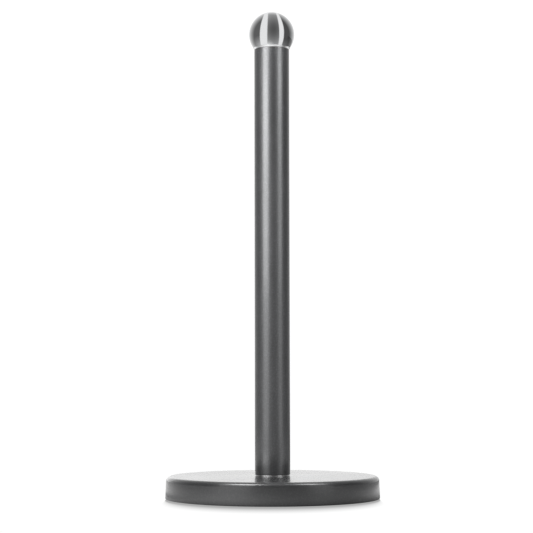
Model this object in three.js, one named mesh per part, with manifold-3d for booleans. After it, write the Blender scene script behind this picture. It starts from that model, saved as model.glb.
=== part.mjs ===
// Paper towel holder: a weighted round base, an upright post and a ball finial.
// Millimetres, +Z up. The origin is under the middle of the base, on the surface it stands on.
//
// From the bottom up it is made of four rubber feet, a bottom plate held by three screws, a cast
// ballast disc inside a pressed steel cover, a bolt with two washers up through the middle, a foot
// ring, a steel tube with a threaded plug pressed into each end, a finial ring, and a ball on a
// stud. The post screws down onto the bolt, and the ball screws down into the post.

import * as THREE from 'three';
import * as BufferGeometryUtils from 'three/addons/utils/BufferGeometryUtils.js';
import Module from 'manifold-3d';

const wasm = await Module();
wasm.setup();

// Overall
const COVER_RADIUS = 77;          // at the rolled edge, the widest place
const COVER_TOP = 17;             // the face that a roll stands on
const TUBE_RADIUS = 12.7;         // 1 inch tube
const TUBE_TOP = 326.2;
const BALL_RADIUS = 16.5;

// Gaps between pieces that touch
const SEAT_GAP = 0.05;            // face on face
const PRESS_GAP = 0.1;            // plug in tube
const THREAD_GAP = 0.3;           // round screw in round hole, where the threads would mesh

// Base cover
const SHEET = 1;                  // wall of the pressed cover
const SHOULDER_DRAFT = 0.5;       // how much narrower the skirt is at its top
const SHOULDER_ROUND = 3.5;       // outer radius between the top face and the skirt
const ROLL_RADIUS = 0.9;          // rolled edge at the foot of the skirt
const COVER_HOLE = 4.5;            // hole for the bolt
const SEAT_INNER = 20;            // the part of the top face outside this is clear of the post

// Feet and bottom plate
const FOOT_RADIUS = 8;
const FOOT_HEIGHT = 2;
const FOOT_CIRCLE = 61;           // distance of the feet from the middle
const FOOT_COUNT = 4;
const PLATE_RADIUS = 74.2;
const PLATE_THICKNESS = 1.5;
const PLATE_WINDOW = 14;          // hole that the bolt's head is reached through
const EDGE_OVER_FLOOR = 0.8;      // the rolled edge clears the surface by this much

// Plate screws, M3 countersunk
const SCREW_CIRCLE = 38;
const SCREW_COUNT = 3;
const SCREW_RADIUS = 1.5;
const SCREW_HEAD_RADIUS = 2.8;
const SCREW_LENGTH = 7;

// Ballast disc
const BALLAST_RADIUS = 74.2;
const BALLAST_CHAMFER = 3;
const BALLAST_POCKET = 13;        // counterbore for the bolt's head and washers
const BALLAST_WEB = 4.1;          // iron left above the counterbore
const BALLAST_HOLE = 4.5;

// Bolt, M8 by 25, with its washers
const BOLT_RADIUS = 4;
const BOLT_LENGTH = 25;
const BOLT_HEAD_FLATS = 13;       // across its flats
const BOLT_HEAD_HEIGHT = 5.3;
const FLAT_WASHER_RADIUS = 8;
const FLAT_WASHER_THICKNESS = 1.6;
const SPRING_WASHER_RADIUS = 7.2;
const SPRING_WASHER_THICKNESS = 2;
const SPRING_WASHER_SLIT = 1;

// Post
const TUBE_WALL = 1.2;
const FOOT_RING_RADIUS = 12.4;    // a little narrower than the tube
const FOOT_RING_THICKNESS = 0.8;
const FOOT_PLUG_LENGTH = 20;
const FOOT_PLUG_NECK = 6.2;       // neck that the foot ring is snapped onto
const TOP_PLUG_LENGTH = 18;

// Finial
const FINIAL_RING_RADIUS = 13.4;  // a little wider than the tube
const FINIAL_RING_THICKNESS = 1.2;
const BALL_CENTRE_OVER_FLAT = 9.7;
const BALL_EDGE_BREAK = 0.25;     // small chamfer round the ball's flat
const STUD_RADIUS = 3;            // M6
const STUD_IN_BALL = 12;
const STUD_IN_POST = 11.5;

// Facets round each kind of piece
const BASE_FACETS = 60;
const POST_FACETS = 40;
const SMALL_FACETS = 24;

const material = (color, roughness, metalness) =>
  new THREE.MeshStandardMaterial({ color, roughness, metalness });

const powderCoat = material(0x4a4b4d, 0.42, 0.55);
const chrome = material(0xdadcde, 0.06, 1);
const castIron = material(0x3d3a37, 0.8, 0.6);
const zincPlate = material(0xb6b9bb, 0.35, 1);
const blackPlastic = material(0x1c1c1e, 0.6, 0);
const rubber = material(0x141414, 0.9, 0);

// ---------------------------------------------------------------- shape helpers

const at = (radius, height) => new THREE.Vector2(radius, height);

// Points round a circle's arc in the radius-height plane, angles in degrees.
function arc(radius, height, round, from, to, steps) {
  const points = [];
  for (let i = 0; i <= steps; i++) {
    const angle = THREE.MathUtils.degToRad(from + ((to - from) * i) / steps);
    points.push(at(radius + round * Math.cos(angle), height + round * Math.sin(angle)));
  }
  return points;
}

// Turned shape about +Z. The outline runs outwards along the bottom, up the outside and back.
function turned(outline, facets) {
  const geometry = new THREE.LatheGeometry(outline, facets);
  geometry.rotateX(Math.PI / 2);
  return geometry;
}

// Turned ring or sleeve: the outline is closed back to its first point.
const turnedRing = (outline, facets) => turned([...outline, outline[0]], facets);

// Outline of a plain ring with both outer edges broken by a small chamfer.
function ringOutline(inner, outer, bottom, top, chamfer) {
  return [
    at(inner, bottom),
    at(outer - chamfer, bottom),
    at(outer, bottom + chamfer),
    at(outer, top - chamfer),
    at(outer - chamfer, top),
    at(inner, top),
  ];
}

// A three.js geometry as a manifold solid, with shared vertices merged.
function solid(geometry) {
  const bare = geometry.clone();
  bare.deleteAttribute('normal');
  bare.deleteAttribute('uv');
  const merged = BufferGeometryUtils.mergeVertices(bare, 1e-4);
  const corners = merged.index.array;
  const triangles = [];
  for (let i = 0; i < corners.length; i += 3) {
    const [a, b, c] = corners.slice(i, i + 3);
    if (a !== b && b !== c && c !== a) triangles.push(a, b, c);
  }
  return new wasm.Manifold(new wasm.Mesh({
    numProp: 3,
    vertProperties: new Float32Array(merged.attributes.position.array),
    triVerts: new Uint32Array(triangles),
  }));
}

// A manifold solid as a three.js geometry.
function geometryOf(body) {
  const mesh = body.getMesh();
  const geometry = new THREE.BufferGeometry();
  geometry.setAttribute('position', new THREE.BufferAttribute(mesh.vertProperties, 3));
  geometry.setIndex(new THREE.BufferAttribute(mesh.triVerts, 1));
  geometry.computeVertexNormals();
  return geometry;
}

function named(name, geometry, look) {
  const mesh = new THREE.Mesh(geometry, look);
  mesh.name = name;
  return mesh;
}

// Places on a circle about the middle, the first one at an angle given in degrees.
function placesOnCircle(count, radius, firstAngle) {
  const places = [];
  for (let i = 0; i < count; i++) {
    const angle = THREE.MathUtils.degToRad(firstAngle + (360 * i) / count);
    places.push([radius * Math.cos(angle), radius * Math.sin(angle)]);
  }
  return places;
}

// ---------------------------------------------------------------- heights that follow

const PLATE_BOTTOM = FOOT_HEIGHT + SEAT_GAP;
const BALLAST_BOTTOM = PLATE_BOTTOM + PLATE_THICKNESS + SEAT_GAP;
const BALLAST_TOP = COVER_TOP - SHEET - PRESS_GAP;
const WASHER_SEAT = BALLAST_TOP - BALLAST_WEB - SEAT_GAP;
const FLAT_WASHER_BOTTOM = WASHER_SEAT - FLAT_WASHER_THICKNESS;
const SPRING_WASHER_BOTTOM = FLAT_WASHER_BOTTOM - SEAT_GAP - SPRING_WASHER_THICKNESS;
const BOLT_HEAD_TOP = SPRING_WASHER_BOTTOM - SEAT_GAP;
const FOOT_RING_BOTTOM = COVER_TOP + SEAT_GAP;
const TUBE_BOTTOM = FOOT_RING_BOTTOM + FOOT_RING_THICKNESS + SEAT_GAP;
const FINIAL_RING_BOTTOM = TUBE_TOP + SEAT_GAP;
const BALL_FLAT = FINIAL_RING_BOTTOM + FINIAL_RING_THICKNESS + SEAT_GAP;

const SCREW_PLACES = placesOnCircle(SCREW_COUNT, SCREW_CIRCLE, 90);
const FOOT_PLACES = placesOnCircle(FOOT_COUNT, FOOT_CIRCLE, 45);

// ---------------------------------------------------------------- base pieces

// Pressed steel cover: flat top, rounded shoulder, slightly flared skirt and a rolled edge.
function coverGeometry() {
  const shoulder = COVER_RADIUS - SHOULDER_DRAFT;
  const roundCentre = shoulder - SHOULDER_ROUND;
  const roundHeight = COVER_TOP - SHOULDER_ROUND;
  const rollCentre = COVER_RADIUS - ROLL_RADIUS;
  const rollHeight = EDGE_OVER_FLOOR + ROLL_RADIUS;
  const innerFoot = rollHeight + ROLL_RADIUS;
  const outline = [
    at(COVER_HOLE, COVER_TOP - SHEET),
    ...arc(roundCentre, roundHeight, SHOULDER_ROUND - SHEET, 90, 0, 4),
    at(COVER_RADIUS - SHEET, innerFoot),
    ...arc(rollCentre, rollHeight, ROLL_RADIUS, 120, 360, 7),
    ...arc(roundCentre, roundHeight, SHOULDER_ROUND, 0, 90, 6),
    at(SEAT_INNER, COVER_TOP),
    at(COVER_HOLE, COVER_TOP),
  ];
  return turnedRing(outline, BASE_FACETS);
}

// Cast disc with a chamfered top edge, a counterbore from below and three drilled screw holes.
function ballastGeometry() {
  const disc = solid(turnedRing([
    at(BALLAST_POCKET, BALLAST_BOTTOM),
    at(BALLAST_RADIUS, BALLAST_BOTTOM),
    at(BALLAST_RADIUS, BALLAST_TOP - BALLAST_CHAMFER),
    at(BALLAST_RADIUS - BALLAST_CHAMFER, BALLAST_TOP),
    at(BALLAST_HOLE, BALLAST_TOP),
    at(BALLAST_HOLE, BALLAST_TOP - BALLAST_WEB),
    at(BALLAST_POCKET, BALLAST_TOP - BALLAST_WEB),
  ], BASE_FACETS));
  const depth = SCREW_LENGTH + 1;
  return geometryOf(SCREW_PLACES.reduce((body, [x, y]) => {
    const drill = new THREE.CylinderGeometry(
      SCREW_RADIUS + PRESS_GAP, SCREW_RADIUS + PRESS_GAP, 2 * depth, SMALL_FACETS);
    drill.rotateX(Math.PI / 2);
    drill.translate(x, y, PLATE_BOTTOM);
    return body.subtract(solid(drill));
  }, disc));
}

// Flat plate that closes the underside, countersunk for its screws.
function plateGeometry() {
  const top = PLATE_BOTTOM + PLATE_THICKNESS;
  const disc = solid(turnedRing(
    ringOutline(PLATE_WINDOW, PLATE_RADIUS, PLATE_BOTTOM, top, 0.3), BASE_FACETS));
  return geometryOf(SCREW_PLACES.reduce((body, [x, y]) => {
    const sink = turned([
      at(0, PLATE_BOTTOM - 1),
      at(SCREW_HEAD_RADIUS + 1 + PRESS_GAP, PLATE_BOTTOM - 1),
      at(SCREW_RADIUS + PRESS_GAP, PLATE_BOTTOM + SCREW_HEAD_RADIUS - SCREW_RADIUS),
      at(SCREW_RADIUS + PRESS_GAP, top + 1),
      at(0, top + 1),
    ], SMALL_FACETS);
    sink.translate(x, y, 0);
    return body.subtract(solid(sink));
  }, disc));
}

// Countersunk screw, head down, with its driver recess.
function plateScrewGeometry() {
  const cone = SCREW_HEAD_RADIUS - SCREW_RADIUS;
  const recess = 1;
  return turned([
    at(0, recess),
    at(recess, recess),
    at(recess, 0),
    at(SCREW_HEAD_RADIUS, 0),
    at(SCREW_RADIUS, cone),
    at(SCREW_RADIUS, SCREW_LENGTH - 0.5),
    at(SCREW_RADIUS - 0.5, SCREW_LENGTH),
    at(0, SCREW_LENGTH),
  ], SMALL_FACETS);
}

// Moulded round foot, glued to the plate.
function footGeometry() {
  return turned([
    at(0, 0),
    at(FOOT_RADIUS - 0.6, 0),
    at(FOOT_RADIUS, 0.6),
    at(FOOT_RADIUS, FOOT_HEIGHT),
    at(0, FOOT_HEIGHT),
  ], SMALL_FACETS);
}

// Hexagon bolt, head down: a chamfered six-sided head on a round shank.
function boltGeometry() {
  const corner = BOLT_HEAD_FLATS / 2 / Math.cos(Math.PI / 6);
  const headBottom = BOLT_HEAD_TOP - BOLT_HEAD_HEIGHT;
  const tip = BOLT_HEAD_TOP + BOLT_LENGTH;
  const hexagon = new THREE.CylinderGeometry(corner, corner, BOLT_HEAD_HEIGHT, 6);
  hexagon.rotateX(Math.PI / 2);
  hexagon.translate(0, 0, headBottom + BOLT_HEAD_HEIGHT / 2);
  const faced = turned([
    at(0, headBottom),
    at(BOLT_HEAD_FLATS / 2 - 0.3, headBottom),
    at(corner + 0.2, headBottom + 1),
    at(corner + 0.2, BOLT_HEAD_TOP + 1),
    at(0, BOLT_HEAD_TOP + 1),
  ], SMALL_FACETS);
  const shank = turned([
    at(0, BOLT_HEAD_TOP - 1),
    at(BOLT_RADIUS, BOLT_HEAD_TOP - 1),
    at(BOLT_RADIUS, tip - 1),
    at(BOLT_RADIUS - 1, tip),
    at(0, tip),
  ], SMALL_FACETS);
  return geometryOf(solid(hexagon).intersect(solid(faced)).add(solid(shank)));
}

function flatWasherGeometry() {
  return turnedRing(ringOutline(
    BOLT_RADIUS + THREAD_GAP, FLAT_WASHER_RADIUS, FLAT_WASHER_BOTTOM, WASHER_SEAT, 0.2,
  ), SMALL_FACETS);
}

// Split lock washer, pressed flat, with its slanted slit.
function springWasherGeometry() {
  const top = SPRING_WASHER_BOTTOM + SPRING_WASHER_THICKNESS;
  const ring = turnedRing(ringOutline(
    BOLT_RADIUS + THREAD_GAP, SPRING_WASHER_RADIUS, SPRING_WASHER_BOTTOM, top, 0.2,
  ), SMALL_FACETS);
  const slit = new THREE.BoxGeometry(SPRING_WASHER_RADIUS, SPRING_WASHER_SLIT, 8);
  slit.rotateX(THREE.MathUtils.degToRad(25));
  slit.translate(SPRING_WASHER_RADIUS, 0, (SPRING_WASHER_BOTTOM + top) / 2);
  return geometryOf(solid(ring).subtract(solid(slit)));
}

// ---------------------------------------------------------------- post pieces, from the tube's foot

function footRingGeometry() {
  return turnedRing(ringOutline(
    FOOT_PLUG_NECK + PRESS_GAP, FOOT_RING_RADIUS, FOOT_RING_BOTTOM - TUBE_BOTTOM, -SEAT_GAP, 0.25,
  ), POST_FACETS);
}

function tubeGeometry() {
  const length = TUBE_TOP - TUBE_BOTTOM;
  return turnedRing(
    ringOutline(TUBE_RADIUS - TUBE_WALL, TUBE_RADIUS, 0, length, 0.3), POST_FACETS);
}

// Threaded plug in the tube's foot, with a neck that carries the foot ring.
function footPlugGeometry() {
  const bore = BOLT_RADIUS + THREAD_GAP;
  const outer = TUBE_RADIUS - TUBE_WALL - PRESS_GAP;
  return turnedRing([
    at(bore, -FOOT_RING_THICKNESS),
    at(FOOT_PLUG_NECK, -FOOT_RING_THICKNESS),
    at(FOOT_PLUG_NECK, 0),
    at(outer, 0),
    at(outer, FOOT_PLUG_LENGTH - 1),
    at(outer - 1, FOOT_PLUG_LENGTH),
    at(bore, FOOT_PLUG_LENGTH),
  ], POST_FACETS);
}

// Threaded plug in the tube's top, with a lead-in for the finial's stud.
function topPlugGeometry() {
  const bore = STUD_RADIUS + THREAD_GAP;
  const outer = TUBE_RADIUS - TUBE_WALL - PRESS_GAP;
  return turnedRing([
    at(bore, -TOP_PLUG_LENGTH),
    at(outer - 1, -TOP_PLUG_LENGTH),
    at(outer, 1 - TOP_PLUG_LENGTH),
    at(outer, 0),
    at(bore + 0.7, 0),
    at(bore, -0.7),
  ], POST_FACETS);
}

// ---------------------------------------------------------------- finial pieces, from the ball's flat

function finialRingGeometry() {
  return turnedRing(ringOutline(
    STUD_RADIUS + THREAD_GAP, FINIAL_RING_RADIUS,
    -SEAT_GAP - FINIAL_RING_THICKNESS, -SEAT_GAP, 0.25,
  ), POST_FACETS);
}

// Ball with a flat underneath and a blind hole for the stud.
function ballGeometry() {
  const hole = STUD_RADIUS + PRESS_GAP;
  const flatRadius = Math.sqrt(BALL_RADIUS ** 2 - BALL_CENTRE_OVER_FLAT ** 2);
  const startAngle = THREE.MathUtils.radToDeg(
    -Math.asin((BALL_CENTRE_OVER_FLAT - BALL_EDGE_BREAK) / BALL_RADIUS));
  return turned([
    at(0, STUD_IN_BALL + 0.5),
    at(hole, STUD_IN_BALL + 0.5),
    at(hole, 0),
    at(flatRadius - BALL_EDGE_BREAK, 0),
    ...arc(0, BALL_CENTRE_OVER_FLAT, BALL_RADIUS, startAngle, 85, 18),
    at(0, BALL_CENTRE_OVER_FLAT + BALL_RADIUS),
  ], POST_FACETS);
}

function studGeometry() {
  const chamfer = 0.6;
  return turned([
    at(0, -STUD_IN_POST),
    at(STUD_RADIUS - chamfer, -STUD_IN_POST),
    at(STUD_RADIUS, chamfer - STUD_IN_POST),
    at(STUD_RADIUS, STUD_IN_BALL - chamfer),
    at(STUD_RADIUS - chamfer, STUD_IN_BALL),
    at(0, STUD_IN_BALL),
  ], SMALL_FACETS);
}

// ---------------------------------------------------------------- assembly

function baseGroup() {
  const base = new THREE.Group();
  base.add(
    named('base_cover', coverGeometry(), powderCoat),
    named('ballast_disc', ballastGeometry(), castIron),
    named('bottom_plate', plateGeometry(), blackPlastic),
    named('base_bolt', boltGeometry(), zincPlate),
    named('flat_washer', flatWasherGeometry(), zincPlate),
    named('spring_washer', springWasherGeometry(), zincPlate),
  );
  SCREW_PLACES.forEach(([x, y], i) => {
    const screw = named(`plate_screw_${i + 1}`, plateScrewGeometry(), zincPlate);
    screw.position.set(x, y, PLATE_BOTTOM);
    base.add(screw);
  });
  FOOT_PLACES.forEach(([x, y], i) => {
    const foot = named(`rubber_foot_${i + 1}`, footGeometry(), rubber);
    foot.position.set(x, y, 0);
    base.add(foot);
  });
  return base;
}

function postGroup() {
  const post = new THREE.Group();
  const topPlug = named('top_plug', topPlugGeometry(), zincPlate);
  topPlug.position.z = TUBE_TOP - TUBE_BOTTOM;
  post.add(
    named('foot_ring', footRingGeometry(), chrome),
    named('post_tube', tubeGeometry(), powderCoat),
    named('foot_plug', footPlugGeometry(), zincPlate),
    topPlug,
  );
  post.position.z = TUBE_BOTTOM;
  return post;
}

function finialGroup() {
  const finial = new THREE.Group();
  finial.add(
    named('finial_ring', finialRingGeometry(), chrome),
    named('finial_ball', ballGeometry(), chrome),
    named('finial_stud', studGeometry(), zincPlate),
  );
  finial.position.z = BALL_FLAT;
  return finial;
}

const paperTowelHolder = new THREE.Group();
paperTowelHolder.add(baseGroup(), postGroup(), finialGroup());

export default paperTowelHolder;
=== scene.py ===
import math

import bpy
from mathutils import Matrix, Vector


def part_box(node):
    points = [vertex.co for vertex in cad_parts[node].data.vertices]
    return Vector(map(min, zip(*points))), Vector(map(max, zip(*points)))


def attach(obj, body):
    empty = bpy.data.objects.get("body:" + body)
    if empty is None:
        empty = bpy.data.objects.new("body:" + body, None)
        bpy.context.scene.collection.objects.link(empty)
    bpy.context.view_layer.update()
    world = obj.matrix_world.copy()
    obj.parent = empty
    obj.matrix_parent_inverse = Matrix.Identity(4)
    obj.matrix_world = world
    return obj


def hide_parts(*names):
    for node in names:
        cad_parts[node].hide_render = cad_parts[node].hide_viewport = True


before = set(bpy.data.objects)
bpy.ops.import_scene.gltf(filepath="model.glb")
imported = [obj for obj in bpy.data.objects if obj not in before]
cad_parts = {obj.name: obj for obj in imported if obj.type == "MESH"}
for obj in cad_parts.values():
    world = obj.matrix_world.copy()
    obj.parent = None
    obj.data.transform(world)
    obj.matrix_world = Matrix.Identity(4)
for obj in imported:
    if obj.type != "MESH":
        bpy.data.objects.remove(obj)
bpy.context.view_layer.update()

# ------------------------------------------------------------------ Base cover
# Round cover pressed from 1 mm steel sheet, with a rounded shoulder, a slightly flared skirt and a
# rolled edge. It has a charcoal powder coat with fine metal flakes, and sits over the ballast disc.

MM = 0.001
MERGE_DISTANCE = MM / 1000


def arc(radius, height, bend, start, end, steps):
    """Points on a bend in the radius-height plane, from one angle in degrees to another."""
    turns = [math.radians(start + (end - start) * i / steps) for i in range(steps + 1)]
    return [(radius + bend * math.cos(a), height + bend * math.sin(a)) for a in turns]


def turn(name, outline, steps=128, middle=(0, 0)):
    """Piece turned about an upright axis from an outline of (radius, height) points."""
    bpy.ops.object.select_all(action="DESELECT")
    x, y = middle
    radius, height = outline[0]
    bpy.ops.mesh.primitive_plane_add(size=MM, location=(x + radius, y, height))
    piece = bpy.context.object
    piece.name = piece.data.name = name
    bpy.ops.object.transform_apply(location=True, rotation=True, scale=True)
    bpy.ops.object.mode_set(mode="EDIT")
    bpy.ops.mesh.select_all(action="SELECT")
    bpy.ops.mesh.merge(type="CENTER")
    path = outline if outline[0][0] == 0 else outline + outline[:1]
    for (r0, z0), (r1, z1) in zip(path, path[1:]):
        bpy.ops.mesh.extrude_region_move(
            TRANSFORM_OT_translate={"value": (r1 - r0, 0, z1 - z0)})
    bpy.ops.mesh.select_all(action="SELECT")
    bpy.ops.mesh.spin(steps=steps, angle=2 * math.pi, center=(x, y, 0), axis=(0, 0, 1))
    bpy.ops.mesh.select_all(action="SELECT")
    bpy.ops.mesh.remove_doubles(threshold=MERGE_DISTANCE)
    bpy.ops.mesh.normals_make_consistent(inside=False)
    bpy.ops.object.mode_set(mode="OBJECT")
    return piece


def smooth(piece, angle=35):
    """Smooth shading, with edges sharper than the angle kept crisp."""
    bpy.ops.object.select_all(action="DESELECT")
    piece.select_set(True)
    bpy.context.view_layer.objects.active = piece
    bpy.ops.object.shade_smooth_by_angle(angle=math.radians(angle))


def fit(piece, material, body, slot, *nodes):
    """Gives a piece its finish, and puts it in the place of CAD nodes on a body."""
    piece.data.materials.clear()
    piece.data.materials.append(material)
    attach(piece, body)
    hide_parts(*nodes)


def new_group(name, inputs, outputs):
    """Empty node group with float and vector sockets; an input is (name, default)."""
    group = bpy.data.node_groups.new(name, "ShaderNodeTree")
    for label, default in inputs:
        kind = "NodeSocketVector" if default is None else "NodeSocketFloat"
        socket = group.interface.new_socket(label, in_out="INPUT", socket_type=kind)
        if default is not None:
            socket.default_value = default
    for label in outputs:
        group.interface.new_socket(label, in_out="OUTPUT", socket_type="NodeSocketFloat")
    return group, group.nodes.new("NodeGroupInput"), group.nodes.new("NodeGroupOutput")


def sum_node(tree, operation, first, second):
    """Math node on two values or sockets, and its output."""
    node = tree.nodes.new("ShaderNodeMath")
    node.operation = operation
    for socket, value in zip(node.inputs, (first, second)):
        if isinstance(value, (int, float)):
            socket.default_value = value
        else:
            tree.links.new(value, socket)
    return node.outputs[0]


def ramp_node(tree, value, low, high, to_low=0.0, to_high=1.0):
    """Smooth step of a value between two limits, onto another range."""
    node = tree.nodes.new("ShaderNodeMapRange")
    node.interpolation_type = "SMOOTHSTEP"
    tree.links.new(value, node.inputs["Value"])
    for label, limit in (("From Min", low), ("From Max", high),
                         ("To Min", to_low), ("To Max", to_high)):
        if isinstance(limit, (int, float)):
            node.inputs[label].default_value = limit
        else:
            tree.links.new(limit, node.inputs[label])
    return node.outputs["Result"]


def grain_group():
    """Fine uneven surface: soft lumps of one size with finer ones on them."""
    group, given, made = new_group(
        "grain", [("Vector", None), ("Size", MM), ("Detail", 2.0)], ["Height"])
    noise = group.nodes.new("ShaderNodeTexNoise")
    group.links.new(given.outputs["Vector"], noise.inputs["Vector"])
    group.links.new(sum_node(group, "DIVIDE", 1.0, given.outputs["Size"]),
                    noise.inputs["Scale"])
    group.links.new(given.outputs["Detail"], noise.inputs["Detail"])
    group.links.new(noise.outputs["Fac"], made.inputs["Height"])
    return group


def flake_group():
    """Metal flakes in a coat: each cell of one size is a flake with its own brightness."""
    group, given, made = new_group(
        "flakes", [("Vector", None), ("Size", MM), ("Share", 0.5)], ["Mask"])
    cells = group.nodes.new("ShaderNodeTexVoronoi")
    group.links.new(given.outputs["Vector"], cells.inputs["Vector"])
    group.links.new(sum_node(group, "DIVIDE", 1.0, given.outputs["Size"]),
                    cells.inputs["Scale"])
    shade = group.nodes.new("ShaderNodeSeparateColor")
    group.links.new(cells.outputs["Color"], shade.inputs["Color"])
    floor_level = sum_node(group, "SUBTRACT", 1.0, given.outputs["Share"])
    group.links.new(ramp_node(group, shade.outputs["Red"], floor_level, 1.0),
                    made.inputs["Mask"])
    return group


def patch_group():
    """Slow change between two values, as from handling, wiping and an uneven coat."""
    group, given, made = new_group(
        "patches", [("Vector", None), ("Size", 20 * MM), ("Low", 0.0), ("High", 1.0)],
        ["Value"])
    noise = group.nodes.new("ShaderNodeTexNoise")
    noise.inputs["Detail"].default_value = 3.0
    noise.inputs["Distortion"].default_value = 0.4
    group.links.new(given.outputs["Vector"], noise.inputs["Vector"])
    group.links.new(sum_node(group, "DIVIDE", 1.0, given.outputs["Size"]),
                    noise.inputs["Scale"])
    group.links.new(ramp_node(group, noise.outputs["Fac"], 0.35, 0.65,
                              given.outputs["Low"], given.outputs["High"]),
                    made.inputs["Value"])
    return group


GRAIN, FLAKES, PATCHES = grain_group(), flake_group(), patch_group()


def new_finish(name, **constants):
    """Material with one Principled shader, its constants set, and object coordinates."""
    material = bpy.data.materials.new(name)
    material.use_nodes = True
    tree = material.node_tree
    shader = tree.nodes["Principled BSDF"]
    for label, value in constants.items():
        shader.inputs[label.replace("_", " ")].default_value = value
    return material, tree, shader, tree.nodes.new("ShaderNodeTexCoord").outputs["Object"]


def effect(tree, group, place, **values):
    """Places a node group in a material with its own values, and gives its output."""
    node = tree.nodes.new("ShaderNodeGroup")
    node.node_tree = group
    tree.links.new(place, node.inputs["Vector"])
    for label, value in values.items():
        node.inputs[label].default_value = value
    return node.outputs[0]


def blend_colours(tree, mask, first, second):
    """Colour between two, by a mask. Either may be a colour or a socket."""
    node = tree.nodes.new("ShaderNodeMix")
    node.data_type = "RGBA"
    tree.links.new(mask, node.inputs["Factor"])
    for socket, colour in ((node.inputs[6], first), (node.inputs[7], second)):
        if isinstance(colour, tuple):
            socket.default_value = (*colour, 1)
        else:
            tree.links.new(colour, socket)
    return node.outputs[2]


def bump(tree, shader, *layers):
    """Chains bumps of (height, strength, depth) into the shader's normal."""
    normal = None
    for height, strength, depth in layers:
        node = tree.nodes.new("ShaderNodeBump")
        node.inputs["Strength"].default_value = strength
        node.inputs["Distance"].default_value = depth
        tree.links.new(height, node.inputs["Height"])
        if normal is not None:
            tree.links.new(normal, node.inputs["Normal"])
        normal = node.outputs["Normal"]
    tree.links.new(normal, shader.inputs["Normal"])


def powder_coat_finish(name, shade, gloss):
    """Charcoal coat with fine and coarse flakes, its colours scaled by a shade. A shade below 1
    gives a darker copy of the same coat, as painted shade.
    """
    finish, tree, shader, place = new_finish(
        name, Metallic=0.5, Coat_Weight=gloss, Coat_Roughness=0.2, Coat_IOR=1.5)
    ground, dull_flake, bright_flake = (
        tuple(shade * part for part in colour)
        for colour in ((0.158, 0.16, 0.164), (0.178, 0.181, 0.186), (0.192, 0.195, 0.2)))
    fine = effect(tree, FLAKES, place, Size=0.35 * MM, Share=0.6)
    coarse = effect(tree, FLAKES, place, Size=0.8 * MM, Share=0.4)
    body = blend_colours(tree, fine, ground, dull_flake)
    tree.links.new(blend_colours(tree, coarse, body, bright_flake), shader.inputs["Base Color"])
    tree.links.new(effect(tree, PATCHES, place, Size=38 * MM, Low=0.36, High=0.42),
                   shader.inputs["Roughness"])
    peel = effect(tree, GRAIN, place, Size=1.3 * MM, Detail=2.0)
    bump(tree, shader, (peel, 0.08, 0.05 * MM))
    return finish


# The cover's copy of the coat is painted shade: its colours are half of the tube's copy, and it has
# a fuller clear coat.
COVER_COAT_PAINTED_DARKER = powder_coat_finish("charcoal cover coat, painted darker", 0.5, 1.0)

cover_low, cover_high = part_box("base_cover")
COVER_RADIUS = cover_high.x
COVER_TOP = cover_high.z
SHEET = 1 * MM
SHOULDER_DRAFT = 0.5 * MM
SHOULDER_BEND = 3.5 * MM
ROLL_BEND = 0.9 * MM
COVER_HOLE = 4.5 * MM
TOP_RINGS = (60 * MM, 30 * MM)

shoulder_middle = COVER_RADIUS - SHOULDER_DRAFT - SHOULDER_BEND
roll_height = cover_low.z + ROLL_BEND
cover = turn("cover", [
    (COVER_HOLE, COVER_TOP - SHEET),
    *arc(shoulder_middle, COVER_TOP - SHOULDER_BEND, SHOULDER_BEND - SHEET, 90, 0, 8),
    (COVER_RADIUS - SHEET, roll_height + ROLL_BEND),
    *arc(COVER_RADIUS - ROLL_BEND, roll_height, ROLL_BEND, 120, 360, 20),
    *arc(shoulder_middle, COVER_TOP - SHOULDER_BEND, SHOULDER_BEND, 0, 90, 16),
    *[(ring, COVER_TOP) for ring in TOP_RINGS],
    (COVER_HOLE, COVER_TOP),
], steps=192)
smooth(cover)
fit(cover, COVER_COAT_PAINTED_DARKER, "base", "powder_coat", "base_cover")

# ------------------------------------------------------------------ Ballast disc
# Grey iron casting that keeps the holder from tipping. It has a chamfered rim, a counterbore for
# the bolt's head and three drilled holes for the plate's screws, and is oiled against rust.


def cast_iron_finish():
    finish, tree, shader, place = new_finish("oiled cast iron", Metallic=0.6)
    scale = effect(tree, GRAIN, place, Size=0.9 * MM, Detail=6.0)
    oil = effect(tree, PATCHES, place, Size=14 * MM, Low=0.0, High=1.0)
    tree.links.new(blend_colours(tree, oil, (0.075, 0.07, 0.066), (0.038, 0.036, 0.034)),
                   shader.inputs["Base Color"])
    tree.links.new(effect(tree, PATCHES, place, Size=9 * MM, Low=0.5, High=0.8),
                   shader.inputs["Roughness"])
    bump(tree, shader, (scale, 0.8, 0.3 * MM))
    return finish


def soften(piece, width, segments=3, angle=30):
    """Rounds a piece's crisp edges."""
    bpy.ops.object.select_all(action="DESELECT")
    piece.select_set(True)
    bpy.context.view_layer.objects.active = piece
    bevel = piece.modifiers.new("soft edges", "BEVEL")
    bevel.width = width
    bevel.segments = segments
    bevel.angle_limit = math.radians(angle)
    bpy.ops.object.modifier_apply(modifier=bevel.name)


def combine(piece, tool, operation):
    """Cuts, joins or trims a piece with another one, which is used up."""
    bpy.ops.object.select_all(action="DESELECT")
    piece.select_set(True)
    bpy.context.view_layer.objects.active = piece
    change = piece.modifiers.new("shape", "BOOLEAN")
    change.operation = operation
    change.object = tool
    change.solver = "EXACT"
    bpy.ops.object.modifier_apply(modifier=change.name)
    bpy.data.objects.remove(tool)


def middle_of(node):
    """Point half way between a CAD node's corners."""
    low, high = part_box(node)
    return (low + high) / 2


CAST_IRON = cast_iron_finish()
BALLAST_CHAMFER = 3 * MM
BALLAST_POCKET = 13 * MM
BALLAST_WEB = 4.1 * MM
SCREW_NODES = ["plate_screw_1", "plate_screw_2", "plate_screw_3"]
SCREW_RADIUS = 1.5 * MM
SCREW_HOLE = 1.6 * MM
SCREW_HOLE_DEPTH = 8 * MM
CAST_EDGE = 0.5 * MM

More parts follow.
